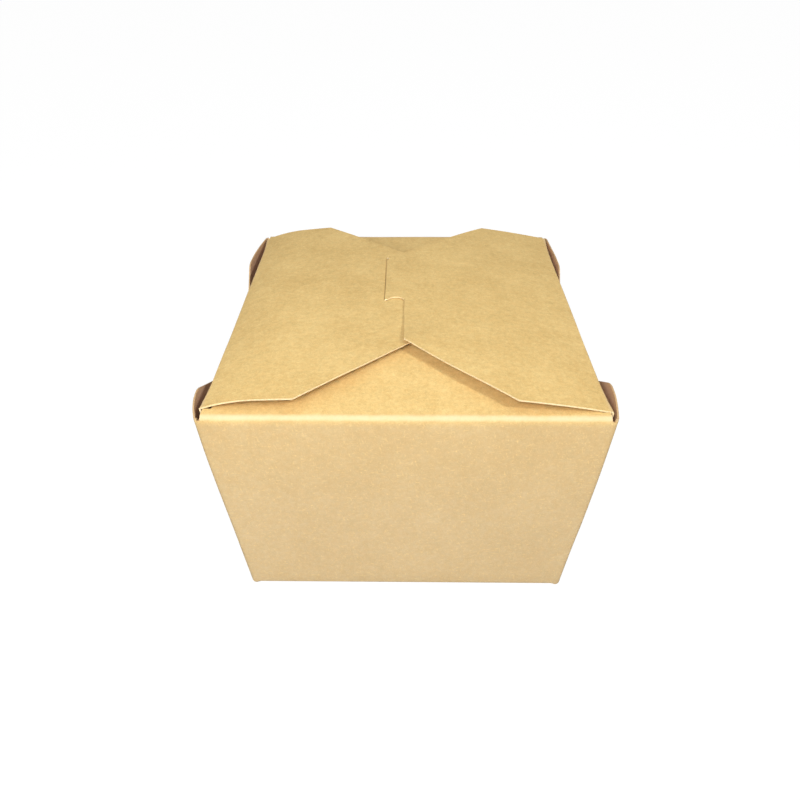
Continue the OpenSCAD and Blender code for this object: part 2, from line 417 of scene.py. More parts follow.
class SheetBench:
    """An open sheet being shaped in edit mode, in millimetres, and finished as board."""

    def __init__(self, name: str, low: Vector, high: Vector, cells: tuple[int, int]) -> None:
        """Adds the first panel as a level grid.

        Args:
            name: Name of the piece.
            low: Lowest corner of the panel.
            high: Highest corner of the panel.
            cells: Number of cells across and along the box.
        """
        bpy.ops.object.select_all(action="DESELECT")
        size = (high.x - low.x, high.y - low.y, 1)
        bpy.ops.mesh.primitive_grid_add(x_subdivisions=cells[0], y_subdivisions=cells[1], size=1,
                                        location=(low + high) / 2, scale=size)
        self.piece = bpy.context.active_object
        self.piece.name = name
        self.piece.scale = size
        bpy.ops.object.transform_apply(location=True, rotation=True, scale=True)
        bpy.ops.object.mode_set(mode="EDIT")
        bpy.ops.mesh.select_mode(type="VERT")
        bpy.ops.mesh.select_all(action="SELECT")
        bpy.ops.mesh.flip_normals()

    @property
    def mesh(self) -> bmesh.types.BMesh:
        """The mesh in edit mode."""
        return bmesh.from_edit_mesh(self.piece.data)

    def _show(self) -> None:
        """Writes the mesh and its selection back."""
        bmesh.update_edit_mesh(self.piece.data)

    def pick_edges(self, test: Test) -> None:
        """Selects the border edges whose two ends pass a test.

        Args:
            test: Says whether a point belongs to the row.
        """
        bpy.ops.mesh.select_all(action="DESELECT")
        for edge in self.mesh.edges:
            if edge.is_boundary and all(test(v.co) for v in edge.verts):
                edge.select_set(True)
        self._show()

    def pick_faces(self, test: Test) -> None:
        """Selects the faces whose middle passes a test.

        Args:
            test: Says whether a face's middle belongs to the selection.
        """
        bpy.ops.mesh.select_all(action="DESELECT")
        for face in self.mesh.faces:
            if test(face.calc_center_median()):
                face.select_set(True)
        self._show()

    def spin(self, centre: Vector, axis: Vector, angle: float, steps: int) -> None:
        """Turns the selected row about an axis, leaving a curved panel behind it.

        Args:
            centre: A point of the axis.
            axis: Way of the axis.
            angle: Turn in radians, by the right hand; the operator counts the other way.
            steps: Number of rows.
        """
        bpy.ops.mesh.spin(steps=steps, angle=-angle, center=centre, axis=axis)

    def extrude(self, way: Vector, rows: int = 1, where: Move | None = None) -> None:
        """Draws the selected row out along a vector, in equal rows.

        Args:
            way: The whole way.
            rows: Number of rows.
            where: Puts each new vertex in its place, if it is given.
        """
        for _ in range(rows):
            bpy.ops.mesh.extrude_edges_move(TRANSFORM_OT_translate={"value": way / rows})
            if where is not None:
                for vertex in self.mesh.verts:
                    if vertex.select:
                        vertex.co = where(vertex.co.copy())
                self._show()

    def fold_over(self, out: Vector, inward: Vector, radius: float, steps: int) -> None:
        """Rolls the selected row half round a fold that follows the row.

        Args:
            out: Way that the sheet faces before the fold.
            inward: Way that the sheet runs before the fold.
            radius: Radius of the sheet's outer face in the fold.
            steps: Number of rows.
        """
        for step in range(steps):
            a, b = math.pi * step / steps, math.pi * (step + 1) / steps
            self.extrude((out * (math.cos(b) - math.cos(a))
                          + inward * (math.sin(b) - math.sin(a))) * radius)

    def trim(self, test: Test, point: Vector, normal: Vector, clear: bool = True) -> None:
        """Cuts the faces that pass a test by a plane.

        Args:
            test: Says which faces are cut.
            point: A point of the plane.
            normal: The side that is cut away.
            clear: Whether that side is deleted; the faces beside it keep their corners.
        """
        self.pick_faces(test)
        bpy.ops.mesh.bisect(plane_co=point, plane_no=normal)
        if clear:
            self.pick_faces(lambda p: test(p) and (p - point).dot(normal) > 0)
            bpy.ops.mesh.delete(type="FACE")

    def cut_out(self, near: Test, planes: list[Plane]) -> None:
        """Cuts a hole or notch bounded by planes.

        Args:
            near: Says which faces may be cut.
            planes: A point of each plane and the way out of the hole.
        """
        for point, normal in planes:
            self.trim(near, point, normal, clear=False)
        self.pick_faces(lambda p: near(p) and all(
            (p - point).dot(normal) < 0 for point, normal in planes))
        bpy.ops.mesh.delete(type="FACE")

    def place(self, where: Move, test: Test | None = None) -> None:
        """Moves vertices to where a function of their place puts them.

        Args:
            where: Gives the new place.
            test: Says which vertices move; all of them if it is left out.
        """
        for vertex in self.mesh.verts:
            if test is None or test(vertex.co):
                vertex.co = where(vertex.co.copy())
        self._show()

    def finish(self, board: float, finishes: Finishes) -> bpy.types.Object:
        """Gives the sheet its thickness and brings it to metres.

        Args:
            board: Thickness of the board; the sheet's faces are its outer faces.
            finishes: Materials of the outer face, the cut edges and the inner face.

        Returns:
            The finished piece, with its place in its mesh.
        """
        bpy.ops.mesh.select_all(action="SELECT")
        bpy.ops.mesh.remove_doubles(threshold=MERGE)
        bpy.ops.object.mode_set(mode="OBJECT")
        for material in finishes:
            self.piece.data.materials.append(material)
        solid = self.piece.modifiers.new("board", "SOLIDIFY")
        solid.thickness = board
        solid.offset = -1
        solid.use_even_offset = True
        solid.material_offset_rim = 1
        solid.material_offset = 2
        bpy.ops.object.modifier_apply(modifier=solid.name)
        bpy.ops.object.mode_set(mode="EDIT")
        bpy.ops.mesh.select_all(action="SELECT")
        bpy.ops.transform.resize(value=(MM, MM, MM), center_override=(0, 0, 0))
        bpy.ops.object.mode_set(mode="OBJECT")
        bpy.ops.object.shade_smooth_by_angle(angle=math.radians(SMOOTH_ANGLE))
        return self.piece


@dataclass
class Sheet:
    """A piece of the folded sheet."""

    sizes: BoxSizes

    def folded(self) -> SheetBench:
        """Each kind of piece gives the bench with its open sheet on it."""
        raise NotImplementedError

    def build(self, finishes: Finishes) -> bpy.types.Object:
        """Models the piece, with the warp that all the pieces share.

        Args:
            finishes: Materials of the outer face, the cut edges and the inner face.

        Returns:
            The finished piece.
        """
        bench = self.folded()
        bench.place(Warp(self.sizes).moved)
        return bench.finish(self.sizes.board, finishes)


@dataclass
class Web:
    """A web: its outer leaf wraps the corner, its inner leaf folds back at the diagonal."""

    sizes: BoxSizes
    shape: WebShape
    rows: int = 20
    reach: float = 46.0
    top_lean: float = 0.2
    corner_strip: float = 0.6
    leaf_start: float = 0.5
    flare_power: float = 0.7
    curl: float = 0.45
    curl_reach: float = 9.0
    curl_pace: float = 1.5
    round_steps: int = 5
    fold_lean: float = 0.12
    fold_steps: int = 4
    pocket: float = 14.0
    pocket_foot: float = 1.5
    inner_gap: float = 0.15

    @property
    def across(self) -> int:
        """The sign of x on the web's side."""
        return self.shape.side.value

    @property
    def along(self) -> int:
        """The sign of y at the web's end."""
        return self.shape.end.value

    @property
    def inward(self) -> Vector:
        """Way off the outer leaf, square to the diagonal fold as seen from the side."""
        fold = self.sizes.web_fold_angle
        return Vector((0, -self.along * math.cos(fold), -math.sin(fold)))

    def _centre(self, rise: float) -> Vector:
        """Centre of the corner's fold."""
        s = self.sizes
        return Vector((self.across * s.web_x(rise), self.along * s.centre_y(rise),
                       s.fold_r + rise * s.fold_rise))

    def _leaf_x(self, y: float, z: float) -> float:
        """Outer face of the outer leaf.

        Args:
            y: Place along the box.
            z: Height.

        Returns:
            Distance from the middle, across the box.
        """
        s = self.sizes
        rise = s.rise_at(z)
        into = share(s.centre_y(rise) - abs(y), 0, self.shape.level)
        rim = s.web_stand_off + (self.shape.flare - s.web_stand_off) * into * (2 - into)
        stand = 2 * s.lap + (rim - 2 * s.lap) * max(rise, 0) ** self.flare_power
        near_top = share(z, s.web_top - self.curl_reach, s.web_top)
        curl = self.curl * near_top**2 * min(into * self.curl_pace, 1)
        return s.side_x(z) + stand + curl

    def _past_diagonal(self, y: float, z: float) -> float:
        """Distance from the diagonal towards the corner, seen from the side."""
        fold = self.sizes.web_fold_angle
        return (abs(y) - self.sizes.web_apex) * math.cos(fold) + z * math.sin(fold)

    def _on_wall_side(self, p: Vector) -> bool:
        """Whether a point lies on the end wall's edge at this corner."""
        s = self.sizes
        return (abs(p.x - self.across * s.end_half(p.z)) < NEAR and p.z < s.end_wall_top + NEAR
                and p.y * self.along > s.centre_y(0) - NEAR)

    def _past_corner(self, p: Vector, by: float = NEAR) -> bool:
        """Whether a point lies further out than the corner's fold centre by a distance."""
        return (p.x * self.across > self.sizes.web_x(self.sizes.rise_at(p.z)) + by
                and p.y * self.along > 0)

    def _on_foot(self, p: Vector) -> bool:
        """Whether a point lies beside the base, below the lower fold's centre."""
        s = self.sizes
        return (p.z < s.fold_r and p.x * self.across > s.centre_x(0) + NEAR
                and 0 < p.y * self.along < s.web_apex)

    def _on_diagonal(self, p: Vector) -> bool:
        """Whether a point lies on the outer leaf's cut along the diagonal."""
        return (p.x * self.across > 0 and p.y * self.along > 0 and p.z > self.pocket_foot
                and abs(self._past_diagonal(p.y, p.z)) < NEAR)

    def _on_inner(self, p: Vector) -> bool:
        """Whether a point lies on the inner leaf, between side wall and outer leaf."""
        s = self.sizes
        play = s.layer_gap / 2
        return (self._past_diagonal(p.y, p.z) > NEAR and p.z > s.fold_r
                and 0 < p.y * self.along < s.centre_y(s.rise_at(p.z)) - NEAR
                and s.side_x(p.z) + play < p.x * self.across
                and p.x * self.across < self._leaf_x(p.y, p.z) - s.board - play)

    def _laid(self, p: Vector) -> Vector:
        """Lays a point on the outer leaf's face, unless it is beside the lower fold."""
        x = p.x if p.z < self.sizes.fold_r else self.across * self._leaf_x(p.y, p.z)
        return Vector((x, p.y, p.z))

    def _top_laid(self, p: Vector) -> Vector:
        """Lays a point of the leaf's last row, unless it is beside the corner's fold."""
        beside = abs(p.y) >= self.sizes.centre_y(1) - self.corner_strip
        return p if beside else self._laid(p)

    def _step_back(self, p: Vector, rows: int) -> Vector:
        """Moves a point of the inner leaf's edge one row back towards the corner.

        Args:
            p: The point.
            rows: Rows that are left, with this one.

        Returns:
            Its new place, loose beside the diagonal and against the side wall further on.
        """
        s = self.sizes
        fold = s.web_fold_angle
        gap = s.centre_y(s.rise_at(p.z)) + s.corner_reach - abs(p.y)
        step = gap / (math.cos(fold) - s.end_run / s.fold_rise * math.sin(fold)) / rows
        y = abs(p.y) + step * math.cos(fold)
        z = p.z + step * math.sin(fold)
        wall = s.side_x(z) + self.inner_gap
        loose = max(1 - self._past_diagonal(y, z) / self.pocket, 0) ** 2
        leaf = self._leaf_x(y, z) - s.lap - s.board
        return Vector((self.across * (wall + (leaf - wall) * loose), self.along * y, z))

    def _cut_top(self, bench: SheetBench, test: Test, drop: float) -> None:
        """Cuts a leaf's top edge: level, round and falling.

        Args:
            bench: The sheet being shaped.
            test: Says which faces belong to the leaf.
            drop: How far the edge lies below the web's top.
        """
        s = self.sizes
        for step in range(self.round_steps + 1):
            a = math.radians(self.shape.fall) * step / self.round_steps
            y = s.rim_depth / 2 - self.shape.level - s.web_round * math.sin(a)
            z = s.web_top - drop - s.web_round * (1 - math.cos(a))
            bench.trim(test, Vector((0, self.along * y, z)),
                       Vector((0, -self.along * math.sin(a), math.cos(a))))

    def fold(self, bench: SheetBench) -> None:
        """Wraps the web round its corner, cuts its outer leaf and lays the inner one back.

        Args:
            bench: The sheet being shaped, with its end walls in place.
        """
        s = self.sizes
        low = self._centre(0)
        way = self._centre(1) - low
        wall_out = Vector((0, self.along * math.cos(s.end_lean), -math.sin(s.end_lean)))
        leaf_out = Vector((self.across * way.z, 0, -abs(way.x)))
        bench.pick_edges(self._on_wall_side)
        bench.spin(low, wall_out.cross(leaf_out).normalized(), wall_out.angle(leaf_out), FOLD_STEPS)
        bench.place(lambda p: Vector((p.x, p.y, 0)), lambda p: p.z < 0)
        bench.extrude(Vector((0, -self.along * self.reach, 0)), self.rows, self._laid)
        bench.pick_edges(lambda p: self._past_corner(p) and p.z > s.end_wall_top - s.web_drop)
        bench.extrude(Vector((self.across * self.top_lean, 0, s.web_drop + s.fold_r)), 1,
                      self._top_laid)
        self._cut_top(bench, self._past_corner, 0)
        bench.trim(lambda p: self._past_corner(p, self.leaf_start) or self._on_foot(p),
                   Vector((0, self.along * s.web_apex, 0)), self.inward)
        self._lay_back(bench)

    def _lay_back(self, bench: SheetBench) -> None:
        """Folds the web at its diagonal and runs its inner leaf back to the corner.

        Args:
            bench: The sheet being shaped, with the outer leaf cut along the diagonal.
        """
        s = self.sizes
        fold = s.web_fold_angle
        run = Vector((self.across * self.fold_lean, -self.along * math.sin(fold), math.cos(fold)))
        out, inward = ((way - way.project(run)).normalized()
                       for way in (Vector((self.across, 0, 0)), self.inward))
        bench.pick_edges(self._on_diagonal)
        bench.fold_over(out, inward, (s.lap + s.board) / 2, self.fold_steps)
        for left in range(self.rows, 0, -1):
            bench.extrude(Vector(), 1, lambda p: self._step_back(p, left))
        self._cut_top(bench, self._on_inner, s.inner_drop)


@dataclass
class TrayEnds(Sheet):
    """Base, end walls and end flaps in one strip, with the four webs that hang on the walls."""

    cells: int = 36
    wall_rows: int = 18
    rim_steps: int = 8
    flap_rows: int = 14
    flap_skin: float = 0.3
    hinge_gap: float = 0.05
    arch_half: float = 48.0
    lift_start: float = 2.0
    webs: tuple[WebShape, ...] = (
        WebShape(Side.LEFT, End.FRONT, level=14.0, fall=21.5, flare=3.3),
        WebShape(Side.RIGHT, End.FRONT, level=17.0, fall=27.0, flare=3.0),
        WebShape(Side.LEFT, End.REAR, level=25.0, fall=24.0, flare=3.3),
        WebShape(Side.RIGHT, End.REAR, level=26.0, fall=26.0, flare=2.1),
    )

    def folded(self) -> SheetBench:
        """Models the open strip.

        Returns:
            The bench with the strip on it.
        """
        corner = Vector((self.sizes.centre_x(0), self.sizes.centre_y(0), 0))
        bench = SheetBench("tray_ends", -corner, corner, (self.cells, self.cells))
        for end in End:
            self._raise_end(bench, end)
        bench.place(self._widened)
        for end in End:
            for side in Side:
                self._trim_end_flap(bench, side, end)
            for shape in self.webs:
                if shape.end is end:
                    Web(self.sizes, shape).fold(bench)
        bench.place(self._lifted)
        return bench

    def _raise_end(self, bench: SheetBench, end: End) -> None:
        """Draws an end wall and its flap up from the base's edge.

        Args:
            bench: The sheet being shaped.
            end: The end of the box.
        """
        s = self.sizes
        sign = end.value
        axis = Vector((sign, 0, 0))
        foot = Vector((0, sign * s.centre_y(0), s.fold_r))
        rim = Vector((0, sign * s.centre_y(1), s.rim_height - s.fold_r))
        flap = s.centre_y(1) - s.rim_depth / 2 + s.end_flap
        bench.pick_edges(lambda p: abs(p.y - foot.y) < NEAR)
        bench.spin(foot, axis, math.pi / 2 - s.end_lean, FOLD_STEPS)
        bench.extrude(rim - foot, self.wall_rows)
        bench.spin(rim, axis, math.pi / 2 + s.end_lean, self.rim_steps)
        bench.extrude(Vector((0, -sign * flap, 0)), self.flap_rows)

    def _widened(self, p: Vector) -> Vector:
        """Spreads a point of the end walls and flaps to their width at its height.

        Args:
            p: A point of the strip, as wide as the base.

        Returns:
            Its new place.
        """
        s = self.sizes
        wide = s.end_half(p.z)
        if p.z > s.end_wall_top + NEAR:
            turn = share(abs(p.y), s.centre_y(1), s.centre_y(1) + s.fold_r)
            wide = s.end_flap_rim + (s.hinge_x - self.hinge_gap - s.end_flap_rim) * turn
        return Vector((p.x * wide / s.centre_x(0), p.y, p.z))

    def _lifted(self, p: Vector) -> Vector:
        """Raises the end flaps towards the middle, as they spring up under the side flaps.

        Args:
            p: A point of the strip.

        Returns:
            Its new place.
        """
        s = self.sizes
        inside = max(s.centre_y(1) - abs(p.y), 0)
        if p.z < s.rim_height - self.flap_skin:
            return p
        lift = s.rear_lift if p.y > 0 else s.front_lift
        arch = max(1 - (p.x / self.arch_half) ** 2, 0)
        return p + Vector((0, 0, lift * arch * inside**2 / (inside + self.lift_start)))

    def _trim_end_flap(self, bench: SheetBench, side: Side, end: End) -> None:
        """Cuts an end flap's side to its taper, from beside the fold to the cut corner.

        Args:
            bench: The sheet being shaped.
            side: The side of the flap.
            end: The end of the box.
        """
        s = self.sizes
        across, along = side.value, end.value
        step = s.root(side) + s.clearance
        skin = s.rim_height - self.flap_skin
        edge = s.rim_depth / 2 - s.end_flap
        start = Vector((across * (s.end_flap_root - s.end_flap_step), along * step, 0))
        line = start - Vector((across * s.end_flap_half, along * (edge + s.end_flap_cut), 0))
        corner = Vector((across * (s.end_flap_half - s.end_flap_cut), along * edge, 0))
        bench.trim(lambda p: p.z > skin and p.y * along > 0 and p.x * across > 0,
                   Vector((0, along * step, 0)), Vector((0, along, 0)), clear=False)
        for point, way in ((start, Vector((across * abs(line.y), -along * abs(line.x), 0))),
                           (corner, Vector((across, -along, 0)))):
            bench.trim(lambda p: p.z > skin and 0 < p.y * along < step and p.x * across > 0,
                       point, way.normalized())


@dataclass
class SideSheet(Sheet):
    """A sheet that starts on a side wall and may go on past the crease as a crowned flap."""

    side: Side
    cells: int = 60
    end_gap: float = 0.1
    side_steps: int = 14
    crown_steps: int = 40
    splay_x: float = 36.0
    splay_y: float = 44.0
    splay_z: float = 48.0

    @property
    def arc(self) -> CrownProfile:
        """Cross-section of the flap on this side."""
        return CrownProfile(self.sizes, self.side)

    def stood(self, name: str, low: float, high: float, rows: int) -> SheetBench:
        """Lays a level grid and sets it up as the leaning wall.

        Args:
            name: Name of the piece.
            low: Where it starts, up the wall from the lower fold.
            high: Where it ends.
            rows: Rows of cells between them.

        Returns:
            The bench with the wall on it.
        """
        bench = SheetBench(name, Vector((low, -1, 0)), Vector((high, 1, 0)), (rows, self.cells))
        bench.place(self._on_wall)
        return bench

    def _on_wall(self, p: Vector) -> Vector:
        """Puts a point of the level grid on the leaning wall, narrower towards the base.

        Args:
            p: Length up the wall, and share of its half width.

        Returns:
            The point's new place.
        """
        s = self.sizes
        place = s.wall_point(p.x)
        half = s.centre_y(s.rise_at(place.y)) + s.fold_r - s.board - self.end_gap
        return Vector((self.side.value * place.x, self.side.value * p.y * half, place.y))

    def raise_flap(self, bench: SheetBench, last: float) -> None:
        """Draws the crowned flap from the wall's top edge and cuts it to its outline.

        Args:
            bench: The sheet being shaped, with its wall in place.
            last: Where the flap ends, from the middle towards its own side.
        """
        s = self.sizes
        arc = self.arc
        across = self.side.value
        root = s.root(self.side)
        top, low = (s.wall_point(arc.wall_length() - drop).y for drop in (0, s.hinge_strip))
        for end in End:
            bench.trim(lambda p: p.z > top - CUT_REACH, Vector((0, end.value * root, 0)),
                       Vector((0, end.value, 0)), clear=False)
            bench.trim(lambda p: p.y * end.value > root, Vector((0, 0, low)), Vector((0, 0, 1)))
        bench.pick_edges(lambda p: p.z > top - NEAR and abs(p.y) < root + NEAR)
        start = arc.crease_end()
        knee = math.pi / 2 - arc.knee_angle
        crown = math.acos(last / arc.wide_radius) - knee
        for centre, angle, steps in (
                (arc.crease_centre(), s.side_lean + start, FOLD_STEPS),
                (arc.side_centre(), knee - start, self.side_steps),
                (Vector((0, arc.wide_z)), crown, self.crown_steps)):
            bench.spin(Vector((across * centre.x, 0, centre.y)), Vector((0, -across, 0)), angle,
                       steps)
        bench.place(self._widened, lambda p: p.z > s.hinge_z)
        for end in End:
            bench.trim(lambda p: p.z > s.hinge_z and p.y * end.value > 0,
                       Vector((across * s.flap_vertex, end.value * s.flap_half, 0)),
                       Vector((-across * s.corner_slope, end.value, 0)).normalized())

    def _widened(self, p: Vector) -> Vector:
        """Widens the flap from its root to its two outer corners.

        Args:
            p: A point of the flap, as wide as its root.

        Returns:
            Its new place.
        """
        s = self.sizes
        reach = 1 - share(abs(p.x), s.flap_vertex, s.hinge_x)
        wide = 1 + (s.flap_half / s.root(self.side) - 1) * reach
        return Vector((p.x, p.y * wide, p.z))

    def splayed(self, p: Vector) -> Vector:
        """Spreads the ends of the hinge line outward a little.

        Args:
            p: A point of the wall or flap.

        Returns:
            Its new place.
        """
        s = self.sizes
        near_end = share(abs(p.y), self.splay_y, s.flap_root)
        height = share(p.z, self.splay_z, s.hinge_z)
        across = share(abs(p.x), self.splay_x, s.hinge_x)
        shift = s.hinge_splay * near_end**2 * height**2 * across
        return p + Vector((math.copysign(shift, p.x), 0, 0))


@dataclass
class SideWall(SideSheet):
    """A side wall with its lower fold and, on the left, the crowned flap with the slit."""

    rows: int = 18

    def folded(self) -> SheetBench:
        """Models the open sheet.

        Returns:
            The bench with the sheet on it.
        """
        s = self.sizes
        left = self.side is Side.LEFT
        top = self.arc.wall_length() - (0 if left else s.hinge_strip)
        bench = self.stood(f"{self.side.name.lower()}_side", 0, top, self.rows)
        self._fold_under(bench)
        if left:
            self.raise_flap(bench, -s.hidden_lap)
            self._cut_slit(bench)
        bench.place(self.splayed)
        return bench

    def _fold_under(self, bench: SheetBench) -> None:
        """Turns the wall's foot under to meet the base.

        Args:
            bench: The sheet being shaped.
        """
        s = self.sizes
        across = self.side.value
        foot = s.wall_point(0).y
        bench.pick_edges(lambda p: p.z < foot + NEAR)
        bench.spin(Vector((across * s.centre_x(0), 0, s.fold_r)), Vector((0, across, 0)),
                   math.pi / 2 - s.side_lean, FOLD_STEPS)

    def _cut_slit(self, bench: SheetBench) -> None:
        """Cuts the slit that takes the other flap's tongue.

        Args:
            bench: The sheet being shaped, with its flap in place.
        """
        s = self.sizes
        front = s.tongue_front
        rear = s.flap_tip - s.corner_slope * s.slit_offset + s.slit_rear_play
        right, back = Vector((1, 0, 0)), Vector((0, 1, 0))
        bench.cut_out(
            lambda p: (p.z > s.hinge_z and abs(p.x + s.slit_offset) < CUT_REACH
                       and front - CUT_REACH < p.y < rear + CUT_REACH),
            [(right * s.slit_left, -right), (right * s.slit_right, right),
             (back * front, -back), (back * rear, back)])


@dataclass
class RightFlap(SideSheet):
    """The swinging flap: a strip of wall, the crease, the crown and the tongue."""

    side: Side = Side.RIGHT
    rows: int = 3
    notch_steps: int = 15
    tongue_steps: int = 5
    tongue_rows: int = 3
    tip_reach: float = 20.0
    bend_start: Triple = (0.45, 0.0, -0.6)
    bend_end: Triple = (-0.9, 0.0, 0.3)

    def folded(self) -> SheetBench:
        """Models the open sheet.

        Returns:
            The bench with the sheet on it.
        """
        s = self.sizes
        top = self.arc.wall_length()
        bend = s.slit_offset + s.half_board - s.tongue_bend
        bench = self.stood("right_flap_sheet", top - s.hinge_strip, top, self.rows)
        self.raise_flap(bench, -bend)
        self._cut_notch(bench)
        self._bend_tongue(bench, bend)
        bench.place(self._tip_raised, lambda p: p.z > s.hinge_z)
        bench.place(self.splayed)
        return bench

    def from_hinge(self, offset: Triple) -> Triple:
        """The point in metres at an offset in millimetres from the middle of the hinge line."""
        hinge = Vector((self.sizes.hinge_x, 0, self.sizes.hinge_z))
        return tuple((hinge + Vector(offset)) * MM)

    def _tip_raised(self, p: Vector) -> Vector:
        """Lifts a point near the front tip a little off the left flap."""
        away = math.hypot(p.x, p.y + self.sizes.flap_tip)
        return p + Vector((0, 0, self.sizes.tip_lift * max(1 - away / self.tip_reach, 0) ** 2))

    def _by_notch(self, p: Vector) -> bool:
        """Whether a point lies in front of the tongue or just behind its front end."""
        s = self.sizes
        return p.z > s.hinge_z and p.x < CUT_REACH / 2 and p.y < s.tongue_front + CUT_REACH

    def _notch_arc(self, centre: Vector, first: int, last: int) -> list[Plane]:
        """Planes of the notch's round end between two angles in degrees."""
        angles = [math.radians(a) for a in range(first, last + 1, self.notch_steps)]
        ways = [Vector((math.cos(a), math.sin(a), 0)) for a in angles]
        return [(centre + way * self.sizes.notch_r, way) for way in ways]

    def _cut_notch(self, bench: SheetBench) -> None:
        """Cuts the free edge back in front of the tongue, as a notch with a round end.

        Args:
            bench: The sheet being shaped, with its flap in place.
        """
        s = self.sizes
        centre = Vector((-s.free_edge - s.notch_r, s.tongue_front + s.notch_rise - s.notch_r, 0))
        right, back = Vector((1, 0, 0)), Vector((0, 1, 0))
        tongue = back * s.tongue_front
        for planes in (
                [(centre, right), (tongue, back)],
                [(centre, -right), *self._notch_arc(centre, 0, 90)],
                [(centre, right), (tongue, -back), *self._notch_arc(centre, 90, 165)]):
            bench.cut_out(self._by_notch, planes)

    def _bend_tongue(self, bench: SheetBench, bend: float) -> None:
        """Turns the tongue down through the other flap's slit.

        Args:
            bench: The sheet being shaped, with its flap cut to its outline.
            bend: Distance of the bend's start from the middle.
        """
        s = self.sizes
        edge = Vector((-bend, 0, self.arc.height(bend)))
        normal = (edge - Vector((0, 0, self.arc.wide_z))).normalized()
        bench.pick_edges(lambda p: abs(p.x + bend) < NEAR and p.y > s.tongue_front - NEAR
                         and p.z > s.hinge_z)
        bench.spin(edge - normal * s.tongue_bend, Vector((0, -1, 0)),
                   normal.angle(Vector((-1, 0, 0))), self.tongue_steps)
        bench.extrude(Vector((0, 0, s.tongue_bend - s.tongue_dip)), self.tongue_rows)


class Value:
    """A socket that carries a number, so that shader maths reads as an expression."""

    def __init__(self, finisher: "Finisher", socket: bpy.types.NodeSocket) -> None:
        """Keeps the socket and the finisher that adds new nodes."""
        self.finisher = finisher
        self.socket = socket

    def _math(self, operation: str, first: object, second: object) -> "Value":
        """Adds a Math node."""
        node = self.finisher.node("ShaderNodeMath", {"operation": operation}, {0: first, 1: second})
        return Value(self.finisher, node.outputs[0])

    def __add__(self, other: object) -> "Value":
        """Sum, in either order."""
        return self._math("ADD", self, other)

    __radd__ = __add__

    def __sub__(self, other: object) -> "Value":
        """Difference."""
        return self._math("SUBTRACT", self, other)

    def __rsub__(self, other: object) -> "Value":
        """Difference with a number first."""
        return self._math("SUBTRACT", other, self)

    def __mul__(self, other: object) -> "Value":
        """Product, in either order."""
        return self._math("MULTIPLY", self, other)

    __rmul__ = __mul__

    def size(self) -> "Value":
        """The value without its sign."""
        return self._math("ABSOLUTE", self, 0.0)


@dataclass(frozen=True)
class Speckle:
    """A layer of noise: cells per metre, octaves, their roughness, and the layer's weight."""

    scale: float
    detail: float = 3.0
    rough: float = 0.6
    weight: float = 1.0


